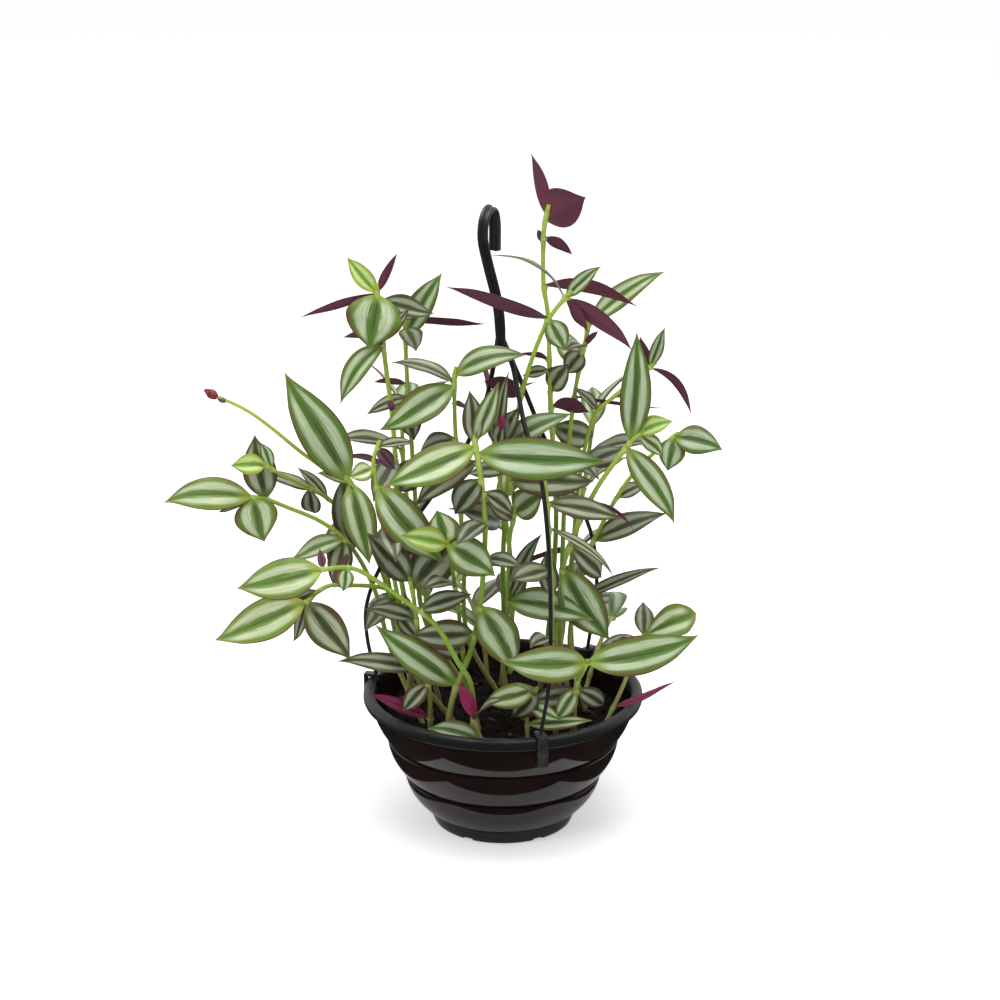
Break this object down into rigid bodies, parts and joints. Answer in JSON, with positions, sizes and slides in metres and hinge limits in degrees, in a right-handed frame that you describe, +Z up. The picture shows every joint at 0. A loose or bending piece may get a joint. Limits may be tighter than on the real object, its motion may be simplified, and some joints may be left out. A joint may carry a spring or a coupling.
{
  "type": "potted tradescantia",
  "caption": "Bushy striped-leaf trailing plant in a glossy dark banded plastic hanging pot, with its moulded three-armed hook hanger and peat.",
  "frame": {"origin": "centre of the pot's underside, at the level it stands on", "axes": "+Z up through the pot towards the hook, -Y towards the display side, +X to the right as seen from the display side"},
  "size_m": [0.3461, 0.2731, 0.4311],
  "materials": {
    "pot_plastic": "gloss",
    "hanger_plastic": "satin",
    "peat": "matte",
    "shoot_green": "satin",
    "leaf_striped": "satin",
    "leaf_purple": "satin",
    "leaf_young": "satin"
  },
  "bodies": {
    "root": {"hanger": "hanger_plastic", "leaf_centre_left_0": "leaf_striped", "leaf_centre_low_2": "leaf_striped", "leaf_centre_top_4": "leaf_striped", "leaf_left_big_0": "leaf_striped", "leaf_left_far_0": "leaf_young", "leaf_left_far_2": "leaf_striped", "leaf_left_hook_0": "leaf_young", "leaf_left_hook_2": "leaf_striped", "leaf_left_low_0": "leaf_young", "leaf_main_front_0": "leaf_striped", "leaf_main_front_2": "leaf_striped", "leaf_main_front_6": "leaf_striped", "leaf_main_front_9": "leaf_striped", "leaf_right_far_0": "leaf_striped", "leaf_right_front_0": "leaf_striped", "leaf_right_front_1": "leaf_young", "leaf_right_low_1": "leaf_striped", "leaf_right_top_2": "leaf_purple", "leaf_right_up_0": "leaf_striped", "leaf_right_up_1": "leaf_striped", "leaf_right_up_5": "leaf_striped", "leaf_top_high_0": "leaf_purple", "leaf_top_high_1": "leaf_purple", "leaf_top_high_4": "leaf_purple", "leaf_top_mid_3": "leaf_purple", "leaf_upleft_a_0": "leaf_striped", "leaf_upmid_1": "leaf_striped", "leaf_upmid_2": "leaf_striped", "pot": "pot_plastic", "shoot_back_left": "shoot_green", "shoot_back_mid": "shoot_green", "shoot_back_right": "shoot_green", "shoot_back_trail": "shoot_green", "shoot_centre_left": "shoot_green", "shoot_centre_low": "shoot_green", "shoot_centre_top": "shoot_green", "shoot_front_left": "shoot_green", "shoot_front_mid": "shoot_green", "shoot_left_big": "shoot_green", "shoot_left_far": "shoot_green", "shoot_left_hook": "shoot_green", "shoot_left_low": "shoot_green", "shoot_left_up": "shoot_green", "shoot_low_left": "shoot_green", "shoot_main_front": "shoot_green", "shoot_right_far": "shoot_green", "shoot_right_front": "shoot_green", "shoot_right_low": "shoot_green", "shoot_right_mid": "shoot_green", "shoot_right_top": "shoot_green", "shoot_right_trail": "shoot_green", "shoot_right_up": "shoot_green", "shoot_top_high": "shoot_green", "shoot_top_mid": "shoot_green", "shoot_top_right": "shoot_green", "shoot_upleft_a": "shoot_green", "shoot_upleft_b": "shoot_green", "shoot_upmid": "shoot_green", "soil": "peat"}
  },
  "joints": []
}
